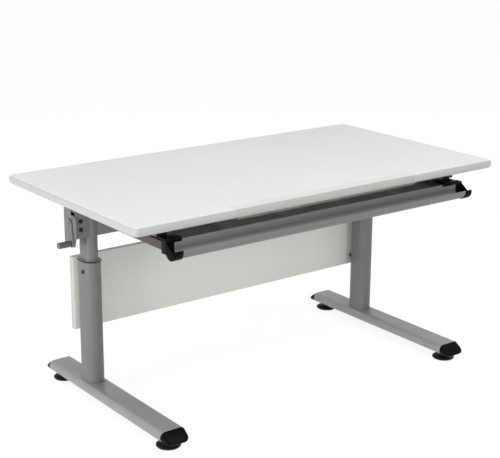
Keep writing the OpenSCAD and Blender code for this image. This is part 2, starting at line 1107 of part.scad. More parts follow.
// Hinge pin through each support arm, with a head at both ends
module hinge_pins() {
    reach = ear_x + ear_t + slide_gap;
    pin_head_r = 6;
    pin_head_t = 2;
    color(steel)
        both_sides() {
            bar_x(column_x - reach - pin_head_t, column_x + reach + pin_head_t, hinge_y, hinge_z, pin_r);
            for (x = [column_x - reach - pin_head_t, column_x + reach])
                bar_x(x, x + pin_head_t, hinge_y, hinge_z, pin_head_r);
        }
}

// Rubber buffer near the rear end of each support arm, where the flat board rests
module rest_buffers() {
    color(black)
        both_sides()
            translate([column_x, buffer_y, arm_z1])
                cylinder(h = arm_gap - slide_gap, r = buffer_r);
}

// Channel under each support arm that the drawer's flange slides in
module drawer_runners() {
    color(steel)
        both_sides()
            along_y(runner_y0, runner_y1) {
                area(runner_x0, runner_x1, arm_z0 - runner_t, arm_z0);
                area(runner_x0, runner_x0 + runner_t, runner_lip_z1 - runner_t, arm_z0);
                area(runner_x0, runner_x1, runner_lip_z1 - runner_t, runner_lip_z1);
            }
}

// Block on the front of the crossbar that each quadrant stay slides through
module stay_clamps() {
    slot = stay_t / 2 + slide_gap;
    color(black)
        both_sides()
            difference() {
                translate([stay_x - clamp_half, clamp_y0, clamp_z0])
                    cube([2 * clamp_half, bar_front - clamp_y0, clamp_h]);
                along_x(stay_x - slot, stay_x + slot)
                    stay_ring(slide_gap);
                bar_x(stay_x, stay_x + clamp_half + 1, lever_y, clamp_z, lever_r + run_gap);
            }
}

// Lever that presses on a quadrant stay: a stem in the clamp, a hub and a flat handle
module clamp_lever() {
    stem_x = stay_x + stay_t / 2 + slide_gap;
    hub_x = stay_x + clamp_half + slide_gap;
    hub_t = 12;
    handle_t = 7;
    handle_r = 6;
    bar_x(stem_x, hub_x + hub_t, lever_y, clamp_z, lever_r);
    bar_x(hub_x, hub_x + hub_t, lever_y, clamp_z, lever_hub_r);
    along_x(hub_x + hub_t - handle_t, hub_x + hub_t)
        translate([lever_y, clamp_z]) {
            area(-handle_r, handle_r, -lever_len, 0);
            translate([0, -lever_len])
                circle(handle_r);
        }
}

module clamp_lever_left() {
    color(black)
        left_side()
            clamp_lever();
}

module clamp_lever_right() {
    color(black)
        clamp_lever();
}

// Crank, cross shaft and lead screws

module cross_shaft() {
    color(steel)
        bar_x(-column_x - crank_x1 - 1, column_x + plate_x1 + shaft_past, column_y, shaft_z, shaft_r);
}

// Bevel gear drawn upright with its teeth as a plain cone, and a hub on its wide end
module bevel_gear(hub_h, bore) {
    difference() {
        union() {
            cylinder(h = gear_far - gear_near, r1 = gear_far - gear_back, r2 = gear_near);
            translate([0, 0, -hub_h])
                cylinder(h = hub_h, r = gear_hub_r);
        }
        translate([0, 0, -hub_h - 1])
            cylinder(h = hub_h + gear_far + 2, r = bore);
    }
}

module shaft_gears() {
    color(steel)
        both_sides()
            translate([column_x + gear_far + gear_back, column_y, shaft_z])
                rotate([0, -90, 0])
                    bevel_gear(2, shaft_r);
}

// Lead screw with a thrust collar under the bearing block, a journal and a bevel gear on top
module spindle() {
    gear_z = shaft_z - gear_far - gear_back;
    collar_z = block_z0 - slide_gap - collar_t;
    hub_h = gear_z - block_z1 - slide_gap;
    bar_z(inner_z0, collar_z, spindle_r);
    bar_z(collar_z, collar_z + collar_t, collar_r);
    bar_z(collar_z, gear_z, journal_r);
    translate([column_x, column_y, gear_z]) {
        cylinder(h = gear_far - gear_near, r1 = gear_far - gear_back, r2 = gear_near);
        translate([0, 0, -hub_h])
            cylinder(h = hub_h, r = gear_hub_r);
    }
}

module spindle_left() {
    color(steel)
        left_side()
            spindle();
}

module spindle_right() {
    color(steel)
        spindle();
}

// Crank arm: two discs joined by a web a little narrower than the discs
module crank_arm() {
    hub_web = hub_r - crank_waist;
    toe_web = toe_r - crank_waist;
    color(silver)
        left_side()
            difference() {
                along_x(column_x + crank_x0, column_x + crank_x1)
                    translate([column_y, shaft_z])
                        rotate(-crank_lean) {
                            circle(hub_r);
                            translate([0, -crank_throw])
                                circle(toe_r);
                            polygon([
                                [hub_web, 0],
                                [-hub_web, 0],
                                [-toe_web, -crank_throw],
                                [toe_web, -crank_throw]
                            ]);
                        }
                bar_x(column_x + crank_x0 - 1, column_x + crank_x1 + 1, column_y, shaft_z, shaft_r);
                bar_x(column_x + crank_x0 - 1, column_x + crank_x1 + 1, grip_y, grip_z, axle_r);
            }
}

module grip_axle() {
    color(steel)
        left_side() {
            bar_x(column_x + crank_x0, grip_x1 - 1, grip_y, grip_z, axle_r);
            bar_x(grip_x1 - axle_recess + slide_gap, grip_x1 - 1, grip_y, grip_z, axle_head_r);
        }
}

// Grip that turns on the crank's axle, with rounded-off ends and a recess for the axle's head
module crank_grip() {
    edge = 2;
    color(grey)
        left_side()
            translate([grip_x0, grip_y, grip_z])
                rotate([0, 90, 0])
                    difference() {
                        rotate_extrude()
                            polygon([
                                [0, 0],
                                [grip_r - edge, 0],
                                [grip_r, edge],
                                [grip_r, grip_len - edge],
                                [grip_r - edge, grip_len],
                                [0, grip_len]
                            ]);
                        translate([0, 0, -1])
                            cylinder(h = grip_len + 2, r = axle_r + run_gap);
                        translate([0, 0, grip_len - axle_recess])
                            cylinder(h = axle_recess + 1, r = axle_head_r + slide_gap);
                    }
}

// Drawer and gutter

// Folded side of the drawer: a wall with a flange at the top and one at the bottom
module drawer_sides() {
    x0 = side_x - side_t - flange_w;
    color(brown_grey)
        both_sides()
            along_y(drawer_y0, drawer_y1) {
                area(side_x - side_t, side_x, side_z0, side_z1);
                area(x0, side_x, flange_z0, side_z1);
                area(x0, side_x, side_z0, side_z0 + side_t);
            }
}

module drawer_back() {
    half = side_x - side_t;
    color(brown_grey)
        translate([-half, drawer_y1 - side_t, side_z0 + side_t])
            cube([2 * half, side_t, tray_z1 - side_z0 - side_t]);
}

// Tray: a shallow box divided by walls that run front to back
module drawer_tray() {
    z0 = side_z0 + side_t;
    rear = drawer_y1 - side_t;
    pitch = 2 * tray_x / (divider_count + 1);
    color(grey) {
        difference() {
            translate([-tray_x, tray_front, z0])
                cube([2 * tray_x, rear - tray_front, tray_z1 - z0]);
            translate([tray_wall - tray_x, tray_front + tray_wall, z0 + tray_wall])
                cube([2 * (tray_x - tray_wall), rear - tray_front - 2 * tray_wall, tray_z1 - z0]);
        }
        for (i = [1 : divider_count])
            translate([i * pitch - tray_x - tray_wall / 2, tray_front, z0])
                cube([tray_wall, rear - tray_front, tray_z1 - z0]);
    }
}

// Section of the trough alone: a half ring with an upright lip in front and a wall behind
module trough_section(lift) {
    mid_z = trough_z + lift;
    intersection() {
        translate([trough_y, mid_z])
            difference() {
                circle(gutter_r);
                circle(gutter_r - gutter_t);
            }
        area(trough_y - gutter_r, trough_y + gutter_r, mid_z - gutter_r, mid_z);
    }
    area(trough_y - gutter_r, trough_y - gutter_r + gutter_t, mid_z, trough_z + lip_rise);
    area(drawer_y0 - gutter_t, drawer_y0, mid_z, wall_z1);
}

module pencil_gutter() {
    color(alloy)
        along_x(-gutter_x, gutter_x) {
            trough_section(gutter_lift);
            area(drawer_y0 - gutter_t, drawer_y0 + shelf_d, side_z0, side_z0 + side_t);
            area(drawer_y0 - gutter_t, drawer_y0, side_z0, trough_z + gutter_lift);
        }
}

// End cap of the gutter: it carries on the trough, closes its end, wraps the drawer's front corner
// and clips over the top of the gutter's back wall with a tab between two places along X
module gutter_cap(tab) {
    wall_front = drawer_y0 - gutter_t;
    lip_front = trough_y - gutter_r;
    tab_z0 = wall_z1 + fit_gap;
    along_x(gutter_x, cap_x1)
        trough_section(0);
    along_x(gutter_x, cap_x1)
        area(wall_front, drawer_y0, trough_z - cheek_drop, wall_z1);
    along_x(cap_x1 - web_t, cap_x1)
        intersection() {
            union() {
                translate([trough_y, trough_z])
                    circle(gutter_r);
                area(lip_front, drawer_y0, trough_z, wall_z1);
            }
            polygon([
                [lip_front, trough_z - gutter_r],
                [drawer_y0, trough_z - gutter_r],
                [drawer_y0, wall_z1 - web_drop],
                [wall_front, wall_z1 - web_drop],
                [lip_front, trough_z - gutter_r / 2]
            ]);
        }
    translate([side_x + fit_gap, wall_front, trough_z - cheek_drop])
        cube([cap_x1 - side_x - fit_gap, gutter_t + cheek_back, wall_rise + cheek_drop]);
    along_x(tab[0], tab[1]) {
        area(wall_front - tab_lip, drawer_y0 + tab_back, tab_z0, tab_z0 + tab_h);
        area(wall_front - tab_lip, wall_front - fit_gap, tab_z0 - tab_h, tab_z0 + tab_h);
    }
    along_x(gutter_x, tab[1])
        area(wall_front, drawer_y0, wall_z1 - 1, tab_z0 + 1);
}

module gutter_caps() {
    color(black) {
        gutter_cap(tab_right);
        left_side()
            gutter_cap(tab_left);
    }
}

board_top();
edge_strip();
hinge_bracket_left();
hinge_bracket_right();
tilt_stay_left();
tilt_stay_right();
board_screws();
foot_beam_left();
foot_beam_right();
foot_caps_front();
foot_caps_rear();
glide_bushes();
glide_front_left();
glide_front_right();
glide_rear_left();
glide_rear_right();
outer_column_left();
outer_column_right();
column_collars();
collar_screws();
column_bolts();
nut_posts();
spindle_nuts();
modesty_panel();
panel_spacers();
panel_screws();
inner_column_left();
inner_column_right();
guide_shoes();
bearing_blocks();
head_plugs();
crossbar();
gear_housing_left();
gear_housing_right();
end_plate_left();
end_plate_right();
housing_bolts();
shaft_bushes();
support_arm_left();
support_arm_right();
arm_plugs();
arm_bolts();
hinge_pins();
rest_buffers();
drawer_runners();
stay_clamps();
clamp_lever_left();
clamp_lever_right();
cross_shaft();
shaft_gears();
crank_arm();
grip_axle();
crank_grip();
spindle_left();
spindle_right();
drawer_sides();
drawer_back();
drawer_tray();
pencil_gutter();
gutter_caps();
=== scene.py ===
# %% [markdown]
# # Dressing a height-adjustable drawing desk
# The desk stands on two C-shaped steel legs. It has a white board that tilts, a crank for the height and
# a pencil gutter on a shallow drawer. The solids come from the CAD frame at their true size and place.
# This lesson gives them rounded edges, moulded and folded details and finishes, and then lights them in a
# plain white studio.

# %% Load the frame
import json
import math

import bmesh
import bpy
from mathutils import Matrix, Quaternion, Vector

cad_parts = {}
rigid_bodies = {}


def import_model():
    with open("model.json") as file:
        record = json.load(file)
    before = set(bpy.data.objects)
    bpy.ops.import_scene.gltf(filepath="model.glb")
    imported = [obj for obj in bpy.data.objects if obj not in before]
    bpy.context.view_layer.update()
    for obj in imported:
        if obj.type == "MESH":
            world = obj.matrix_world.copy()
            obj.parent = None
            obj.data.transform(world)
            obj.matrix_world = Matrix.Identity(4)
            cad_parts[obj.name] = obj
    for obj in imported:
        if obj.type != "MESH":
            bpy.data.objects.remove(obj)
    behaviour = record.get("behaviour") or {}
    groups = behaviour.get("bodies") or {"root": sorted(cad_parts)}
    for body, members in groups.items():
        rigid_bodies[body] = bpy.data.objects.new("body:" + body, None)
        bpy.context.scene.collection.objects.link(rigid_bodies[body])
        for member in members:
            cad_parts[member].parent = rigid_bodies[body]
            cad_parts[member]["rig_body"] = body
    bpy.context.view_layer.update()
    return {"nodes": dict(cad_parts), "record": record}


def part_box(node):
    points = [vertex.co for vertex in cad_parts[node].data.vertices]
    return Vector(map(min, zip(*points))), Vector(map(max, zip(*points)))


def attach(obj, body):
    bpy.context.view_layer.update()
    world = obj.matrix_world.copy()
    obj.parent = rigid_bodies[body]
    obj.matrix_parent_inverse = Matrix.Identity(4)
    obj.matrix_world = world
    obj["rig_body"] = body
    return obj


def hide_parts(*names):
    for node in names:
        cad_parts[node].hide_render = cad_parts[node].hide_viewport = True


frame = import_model()
nodes = frame["nodes"]
MM = 0.001

# %% [markdown]
# ## The camera
# The camera stands in front of the left half of the desk, a little above it. A long lens keeps the
# board's edges almost parallel. The direction, distance and lens are found once by matching the board's
# four corners and the feet, and the camera is then placed by plain trigonometry: walk back from a target
# point along the viewing direction. A shifted lens would keep the columns upright in this one view, but
# the shift would stay in all others, so the camera just looks down a little.

# %% Place the camera
CAMERA_AZIMUTH = math.radians(-37.08)
CAMERA_ELEVATION = math.radians(16.33)
CAMERA_ROLL = math.radians(0.26)
CAMERA_DISTANCE = 3.3973
CAMERA_TARGET = Vector((-0.0248, 0.0075, 0.4190))
LENS_MM = 87.18
SENSOR_MM = 36
NEAREST = 0.1
FARTHEST = 60

back = Vector((
    math.sin(CAMERA_AZIMUTH) * math.cos(CAMERA_ELEVATION),
    -math.cos(CAMERA_AZIMUTH) * math.cos(CAMERA_ELEVATION),
    math.sin(CAMERA_ELEVATION),
))
bpy.ops.object.camera_add(location=CAMERA_TARGET + back * CAMERA_DISTANCE)
camera = bpy.context.object
camera.rotation_mode = "QUATERNION"
roll = Quaternion((0, 0, 1), CAMERA_ROLL)
camera.rotation_quaternion = (-back).to_track_quat("-Z", "Y") @ roll
camera.data.lens = LENS_MM
camera.data.sensor_width = SENSOR_MM
camera.data.clip_start = NEAREST
camera.data.clip_end = FARTHEST
bpy.context.scene.camera = camera
print("camera at", tuple(round(v, 3) for v in camera.location))

# %% [markdown]
# ## Helpers for materials
# Colours are picked as sRGB hex values, as on a paint card. Blender calculates with linear light, so one
# function turns the hex value into linear numbers. Another adds one node with its settings and links.
# Each recipe below then reads from top to bottom: the pattern, what the pattern does, and last the
# shader. A noise texture's values lie mostly between 0.3 and 0.7, so ramps and ranges use that stretch.

# %% Colour and node helpers
NOISE_LOW = 0.3
NOISE_HIGH = 0.7
NOISE_ROUGHNESS = 0.55


def linear(hex_colour):
    """An sRGB hex colour such as "#8a8a88" as linear RGBA."""
    channels = [int(hex_colour[i:i + 2], 16) / 255 for i in (1, 3, 5)]
    return tuple(c / 12.92 if c <= 0.04045 else ((c + 0.055) / 1.055) ** 2.4 for c in channels) + (1.0,)


def plug(tree, node, inputs):
    """Fills a node's inputs: with a value, a socket to link, or a node whose first output is linked."""
    for name, value in inputs.items():
        if isinstance(value, bpy.types.Node):
            value = value.outputs[0]
        if isinstance(value, bpy.types.NodeSocket):
            tree.links.new(value, node.inputs[name])
        else:
            node.inputs[name].default_value = value


def add_node(tree, kind, inputs=None, ramp=None, **settings):
    """One node with its settings and links. A ramp is given as hex colours by their position."""
    node = tree.nodes.new(kind)
    for name, value in settings.items():
        setattr(node, name, value)
    plug(tree, node, inputs or {})
    if ramp:
        for stop, (position, hex_colour) in zip(node.color_ramp.elements, ramp.items()):
            stop.position = position
            stop.color = linear(hex_colour)
    return node


def start_material(name):
    """A new material with only its shader and the object's own coordinates in metres."""
    material = bpy.data.materials.new(name)
    material.use_nodes = True
    tree = material.node_tree
    shader = tree.nodes["Principled BSDF"]
    place = add_node(tree, "ShaderNodeTexCoord").outputs["Object"]
    return material, tree, shader, place


def scale_for(size_mm):
    """The scale at which a noise has blotches of about size_mm."""
    return 1.0 / (size_mm * MM)


# %% [markdown]
# ## White melamine
# The board and the modesty panel are chipboard pressed with melamine paper, a hard satin white with a
# faint pearl texture. The press plate's pearls are about half a millimetre wide, too fine to show from
# three metres, so they are drawn at 1.6 mm. A plain white would do from far away, but the pearls break up
# reflections, and that is what tells melamine from paint. The panel has the same paper, in a copy that is
# a little warmer and darker: painted shade for the warm light under the board.

# %% Melamine
CLOUD_MM = 180
PEARL_MM = 1.6
PEARL_DEPTH_MM = 0.03


def make_melamine(name, dark, light):
    material, tree, shader, place = start_material(name)
    clouds = add_node(tree, "ShaderNodeTexNoise", {
        "Vector": place, "Scale": scale_for(CLOUD_MM), "Detail": 3, "Roughness": NOISE_ROUGHNESS,
    })
    pearls = add_node(tree, "ShaderNodeTexNoise", {
        "Vector": place, "Scale": scale_for(PEARL_MM), "Detail": 1, "Roughness": NOISE_ROUGHNESS,
    })
    paper = add_node(tree, "ShaderNodeValToRGB", {"Fac": clouds}, {NOISE_LOW: dark, NOISE_HIGH: light})
    satin = add_node(tree, "ShaderNodeMapRange", {
        "Value": pearls, "From Min": NOISE_LOW, "From Max": NOISE_HIGH, "To Min": 0.44, "To Max": 0.54,
    })
    bumps = add_node(tree, "ShaderNodeBump", {
        "Height": pearls, "Distance": PEARL_DEPTH_MM * MM, "Strength": 0.5,
    })
    plug(tree, shader, {
        "Base Color": paper, "Roughness": satin, "Normal": bumps, "IOR": 1.5, "Specular IOR Level": 0.25,
    })
    return material


melamine = make_melamine("pearl_melamine_white", "#efefec", "#f3f3f0")
# painted shade: the board's melamine, a little warmer and darker, as it looks in the shade under the board
shaded_panel_melamine = make_melamine("pearl_melamine_painted_shade", "#eae8e2", "#eeece6")
print("made", melamine.name, "and", shaded_panel_melamine.name)

# %% [markdown]
# ## Edge band
# The edges of the board and the panel are closed with an ABS band, which is smoother than the faces. Its
# grey is painted shade: the band is drawn darker than the faces so that the board's front edge looks
# shaded. It is extruded as a strip, so its faint lines run along it: the noise is stretched along X and Y.
# The band could be a piece of its own, but it is glued on flush, so it is a second finish on the slab's
# edge faces.

# %% Edge band
BAND_LINE_MM = 1.2
ALONG_THE_BAND = (0.02, 0.02, 1.0)

shaded_edge_band, tree, shader, place = start_material("abs_edge_band_painted_shade")
drawn = add_node(tree, "ShaderNodeMapping", {"Vector": place, "Scale": ALONG_THE_BAND})
lines = add_node(tree, "ShaderNodeTexNoise", {
    "Vector": drawn, "Scale": scale_for(BAND_LINE_MM), "Detail": 2, "Roughness": NOISE_ROUGHNESS,
})
# painted shade: the band's grey ramp is darker than the faces' white
white = add_node(tree, "ShaderNodeValToRGB", {"Fac": lines}, {NOISE_LOW: "#bababa", NOISE_HIGH: "#bebeba"})
satin = add_node(tree, "ShaderNodeMapRange", {
    "Value": lines, "From Min": NOISE_LOW, "From Max": NOISE_HIGH, "To Min": 0.42, "To Max": 0.5,
})
plug(tree, shader, {"Base Color": white, "Roughness": satin, "IOR": 1.53, "Specular IOR Level": 0.25})
print("made", shaded_edge_band.name)

# %% [markdown]
# ## Powder-coated steel
# The legs, crossbar and arms are steel with a silver-grey powder coat. Powder melts into a skin with a
# gentle orange peel, bumps of one or two millimetres, and carries a little metal flake. That gives soft
# broad highlights instead of mirror ones. The peel is far too shallow to change an outline, so a bump is
# enough and no displacement is needed. The floor beams wear a lighter copy of the same coat, which is
# painted light for the light that falls on their tops. The drawer's folded sides wear a dark brown grey.

# %% Powder coats
COAT_CLOUD_MM = 60
PEEL_MM = 2.2
PEEL_DEPTH_MM = 0.05


def make_powder_coat(name, dark, light, roughness):
    material, tree, shader, place = start_material(name)
    clouds = add_node(tree, "ShaderNodeTexNoise", {
        "Vector": place, "Scale": scale_for(COAT_CLOUD_MM), "Detail": 2, "Roughness": NOISE_ROUGHNESS,
    })
    peel = add_node(tree, "ShaderNodeTexNoise", {
        "Vector": place, "Scale": scale_for(PEEL_MM), "Detail": 2, "Roughness": NOISE_ROUGHNESS,
    })
    coat = add_node(tree, "ShaderNodeValToRGB", {"Fac": clouds}, {NOISE_LOW: dark, NOISE_HIGH: light})
    sheen = add_node(tree, "ShaderNodeMapRange", {
        "Value": peel, "From Min": NOISE_LOW, "From Max": NOISE_HIGH,
        "To Min": roughness - 0.05, "To Max": roughness + 0.07,
    })
    bumps = add_node(tree, "ShaderNodeBump", {
        "Height": peel, "Distance": PEEL_DEPTH_MM * MM, "Strength": 0.35,
    })
    plug(tree, shader, {
        "Base Color": coat, "Roughness": sheen, "Normal": bumps,
        "Metallic": 0.1, "IOR": 1.5, "Specular IOR Level": 0.5,
    })
    return material


silver_coat = make_powder_coat("powder_coat_silver_grey", "#6c6d6b", "#727371", 0.4)
# painted light: the same silver-grey coat made lighter for the floor beams' lit tops
lit_beam_coat = make_powder_coat("powder_coat_silver_grey_painted_light", "#8e8f8e", "#949594", 0.38)
brown_coat = make_powder_coat("powder_coat_brown_grey", "#423837", "#483e3d", 0.48)
print("made", silver_coat.name, lit_beam_coat.name, "and", brown_coat.name)

# %% [markdown]
# ## Anodised aluminium
# The gutter is an extrusion. The die leaves very fine lines along its length, and the anodic film turns
# the metal a soft satin grey. The lines are about half a millimetre apart and are drawn at 0.9 mm so that
# they show. Anisotropy could stand for them, but noise that is stretched along X also shows single lines
# close up.

# %% Anodised aluminium
DIE_LINE_MM = 0.9
DIE_LINE_DEPTH_MM = 0.02
ALONG_THE_GUTTER = (0.004, 1.0, 1.0)

anodised, tree, shader, place = start_material("anodised_aluminium_grey")
drawn = add_node(tree, "ShaderNodeMapping", {"Vector": place, "Scale": ALONG_THE_GUTTER})
lines = add_node(tree, "ShaderNodeTexNoise", {
    "Vector": drawn, "Scale": scale_for(DIE_LINE_MM), "Detail": 3, "Roughness": NOISE_ROUGHNESS,
})
film = add_node(tree, "ShaderNodeValToRGB", {"Fac": lines}, {NOISE_LOW: "#757471", NOISE_HIGH: "#7f7e7b"})
satin = add_node(tree, "ShaderNodeMapRange", {
    "Value": lines, "From Min": NOISE_LOW, "From Max": NOISE_HIGH, "To Min": 0.42, "To Max": 0.54,
})
bumps = add_node(tree, "ShaderNodeBump", {
    "Height": lines, "Distance": DIE_LINE_DEPTH_MM * MM, "Strength": 0.4,
})
plug(tree, shader, {"Base Color": film, "Roughness": satin, "Normal": bumps, "Metallic": 0.35})
print("made", anodised.name)

# %% [markdown]
# ## Moulded plastics, rubber and blackened bolts
# Caps, collars, glides, grip and tray are injection-moulded ABS. The end caps come from polished tools
# and shine. The others come from spark-eroded tools, which leave a fine matt grain of about a millimetre.
# The grip and the tray are grey. Rubber buffers and blackened steel bolts differ only in their colour,
# roughness and grain, so one recipe serves them all.

# %% Plastics, rubber and black oxide


def make_moulded(name, dark, light, roughness, grain_mm, depth_mm, shine=0.25):
    material, tree, shader, place = start_material(name)
    skin = add_node(tree, "ShaderNodeTexNoise", {
        "Vector": place, "Scale": scale_for(grain_mm), "Detail": 2, "Roughness": NOISE_ROUGHNESS,
    })
    colour = add_node(tree, "ShaderNodeValToRGB", {"Fac": skin}, {NOISE_LOW: dark, NOISE_HIGH: light})
    sheen = add_node(tree, "ShaderNodeMapRange", {
        "Value": skin, "From Min": NOISE_LOW, "From Max": NOISE_HIGH,
        "To Min": roughness - 0.04, "To Max": roughness + 0.06,
    })
    bumps = add_node(tree, "ShaderNodeBump", {"Height": skin, "Distance": depth_mm * MM, "Strength": 0.4})
    plug(tree, shader, {
        "Base Color": colour, "Roughness": sheen, "Normal": bumps,
        "IOR": 1.54, "Specular IOR Level": shine,
    })
    return material


gloss_black = make_moulded("polished_abs_black", "#09090a", "#0c0c0d", 0.24, 14, 0.04, 0.04)
matt_black = make_moulded("grained_abs_black", "#141415", "#1a1a1b", 0.46, 1.2, 0.05)
grip_grey = make_moulded("grained_abs_grey", "#5e5e5c", "#666664", 0.42, 1.2, 0.05)
tray_grey = make_moulded("grained_abs_tray_grey", "#aeafa9", "#b4b5af", 0.55, 1.2, 0.05)
rubber = make_moulded("moulded_rubber_black", "#161616", "#1b1b1a", 0.75, 1.5, 0.06)
black_oxide = make_moulded("black_oxide_steel", "#141414", "#1d1d1d", 0.36, 2, 0.02)
print("made", gloss_black.name, matt_black.name, grip_grey.name, tray_grey.name)
print("made", rubber.name, "and", black_oxide.name)

# %% [markdown]
# ## Bare metals
# Screws, brackets, stays and the drive are zinc-plated steel: a cool grey metal whose passivation is a
# little uneven. The nuts and bushes are sintered bronze, which is granular. Both are metals, so they keep
# the default IOR, and one recipe with another colour and grain serves both.

# %% Zinc and bronze
PATCH_DEPTH_MM = 0.02


def make_metal(name, dark, light, roughness, grain_mm):
    material, tree, shader, place = start_material(name)
    patches = add_node(tree, "ShaderNodeTexNoise", {
        "Vector": place, "Scale": scale_for(grain_mm), "Detail": 3, "Roughness": NOISE_ROUGHNESS,
    })
    colour = add_node(tree, "ShaderNodeValToRGB", {"Fac": patches}, {NOISE_LOW: dark, NOISE_HIGH: light})
    sheen = add_node(tree, "ShaderNodeMapRange", {
        "Value": patches, "From Min": NOISE_LOW, "From Max": NOISE_HIGH,
        "To Min": roughness - 0.06, "To Max": roughness + 0.08,
    })
    bumps = add_node(tree, "ShaderNodeBump", {
        "Height": patches, "Distance": PATCH_DEPTH_MM * MM, "Strength": 0.25,
    })
    plug(tree, shader, {"Base Color": colour, "Roughness": sheen, "Normal": bumps, "Metallic": 1.0})
    return material


zinc = make_metal("zinc_plated_steel", "#86888b", "#989a9d", 0.4, 9)
bronze = make_metal("sintered_bronze", "#a37b45", "#b98f55", 0.42, 1.5)
print("made", zinc.name, "and", bronze.name)

# %% [markdown]
# ## Clear acrylic
# The strip on the front edge is clear acrylic. It lets light through, so all one sees is its edges and a
# faint tint. Refraction hardly shows in two millimetres, so a low alpha stands for it: most light passes
# straight through, and the rest takes the tint. Acrylic has an IOR of 1.49. Wiping leaves hair-fine
# streaks along its length, drawn 2.5 mm wide so that they show.

# %% Clear acrylic
STREAK_MM = 2.5
ALONG_THE_STRIP = (0.02, 1.0, 1.0)

acrylic, tree, shader, place = start_material("clear_acrylic")
wiped = add_node(tree, "ShaderNodeMapping", {"Vector": place, "Scale": ALONG_THE_STRIP})
streaks = add_node(tree, "ShaderNodeTexNoise", {
    "Vector": wiped, "Scale": scale_for(STREAK_MM), "Detail": 2, "Roughness": NOISE_ROUGHNESS,
})
tint = add_node(tree, "ShaderNodeValToRGB", {"Fac": streaks}, {NOISE_LOW: "#dcd4ce", NOISE_HIGH: "#e2dad4"})
polish = add_node(tree, "ShaderNodeMapRange", {
    "Value": streaks, "From Min": NOISE_LOW, "From Max": NOISE_HIGH, "To Min": 0.02, "To Max": 0.07,
})
plug(tree, shader, {"Base Color": tint, "Roughness": polish, "Alpha": 0.11, "IOR": 1.49})
print("made", acrylic.name)

# %% [markdown]
# ## Finishes for every CAD node
# The record names a material slot for every node. Finishes could be set node by node, but one table that
# turns slots into finishes is shorter and misses none. A short rule makes two exceptions: the end caps
# are glossier than other black plastic, and the floor beams wear the lighter coat, which is painted
# light. Nodes that keep their CAD shape get the finish directly.

# %% Dress the CAD nodes
FINISH_OF_SLOT = {
    "white_melamine": melamine,
    "clear_acrylic": acrylic,
    "grey_powder_coat": silver_coat,
    "brown_grey_powder_coat": brown_coat,
    "anodised_aluminium": anodised,
    "black_plastic": matt_black,
    "grey_plastic": tray_grey,
    "black_steel": black_oxide,
    "zinc_steel": zinc,
    "bronze": bronze,
    "black_rubber": rubber,
}
GLOSSY_NODES = ("foot_caps_front", "foot_caps_rear", "gutter_caps")
slot_of = {part["node"]: part["material_slot"] for part in frame["record"]["subparts"]}


def finish_of(node):
    """The finish of a CAD node."""
    if node in GLOSSY_NODES:
        return gloss_black
    # the floor beams get the lighter copy of the coat, which is painted light
    if node.startswith("foot_beam"):
        return lit_beam_coat
    return FINISH_OF_SLOT[slot_of[node]]


def wear(obj, material):
    """Gives an object one finish."""
    obj.data.materials.clear()
    obj.data.materials.append(material)


for name, node in nodes.items():
    wear(node, finish_of(name))
print("dressed", len(nodes), "CAD nodes")

# %% [markdown]
# ## Helpers for modelling
# Pieces are modelled as by hand: add a primitive, go into edit mode, pick edges or faces, apply an
# operator. The first helpers go in and out of edit mode and do the picking in code.

# %% Edit mode and picking
AXIS_Y = 1
AXIS_Z = 2
STRAIGHT = 0.999  # share of a direction that lies on the axis


def deselect():
    bpy.ops.object.select_all(action="DESELECT")


def open_mesh(obj):
    """Goes into edit mode on one object with nothing selected."""
    deselect()
    obj.select_set(True)
    bpy.context.view_layer.objects.active = obj
    bpy.ops.object.mode_set(mode="EDIT")
    bpy.ops.mesh.select_mode(type="EDGE")
    bpy.ops.mesh.select_all(action="DESELECT")


def close_mesh():
    bpy.ops.object.mode_set(mode="OBJECT")


def pick_edges(obj, wanted):
    """Selects the edges for which wanted(edge) is true."""
    bpy.ops.mesh.select_mode(type="EDGE")
    bpy.ops.mesh.select_all(action="DESELECT")
    mesh = bmesh.from_edit_mesh(obj.data)
    for edge in mesh.edges:
        if wanted(edge):
            edge.select = True
    mesh.select_flush_mode()
    bmesh.update_edit_mesh(obj.data)


def pick_faces(obj, wanted):
    """Selects the faces for which wanted(face) is true."""
    bpy.ops.mesh.select_mode(type="FACE")
    bpy.ops.mesh.select_all(action="DESELECT")
    mesh = bmesh.from_edit_mesh(obj.data)
    for face in mesh.faces:
        if wanted(face):
            face.select = True
    mesh.select_flush_mode()
    bmesh.update_edit_mesh(obj.data)


def along(edge, axis):
    """True for an edge that runs along an axis."""
    a, b = (v.co for v in edge.verts)
    step = b - a
    return abs(step[axis]) > STRAIGHT * step.length


def facing(face, axis, sign):
    """True for a face that looks along an axis."""
    return face.normal[axis] * sign > STRAIGHT


# %% [markdown]
# Most new pieces start as a block whose edges the Bevel operator rounds. A finished piece has its place
# in its mesh, rides on a CAD body and says which node it stands for.

# %% Start and finish a piece


def block(name, low, high):
    """A cube stretched between two corners, with its place in its mesh."""
    deselect()
    low, high = Vector(low), Vector(high)
    bpy.ops.mesh.primitive_cube_add(size=1, location=(low + high) / 2)
    obj = bpy.context.object
    obj.name = name
    obj.scale = high - low
    bpy.ops.object.transform_apply(location=True, rotation=True, scale=True)
    return obj


def round_picked(size_mm, segments):
    """Rounds the picked edges."""
    bpy.ops.mesh.bevel(offset=size_mm * MM, offset_type="OFFSET", segments=segments, affect="EDGES")


def settle(piece, node, material, smooth_deg=35):
    """Shades a piece, gives it a finish unless that is None, and lets it stand for its CAD node."""
    deselect()
    piece.select_set(True)
    bpy.context.view_layer.objects.active = piece
    bpy.ops.object.shade_smooth_by_angle(angle=math.radians(smooth_deg))
    if material:
        wear(piece, material)
    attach(piece, nodes[node]["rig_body"])
    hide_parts(node)
    print(piece.name, "stands for", node, "with", len(piece.data.polygons), "faces")


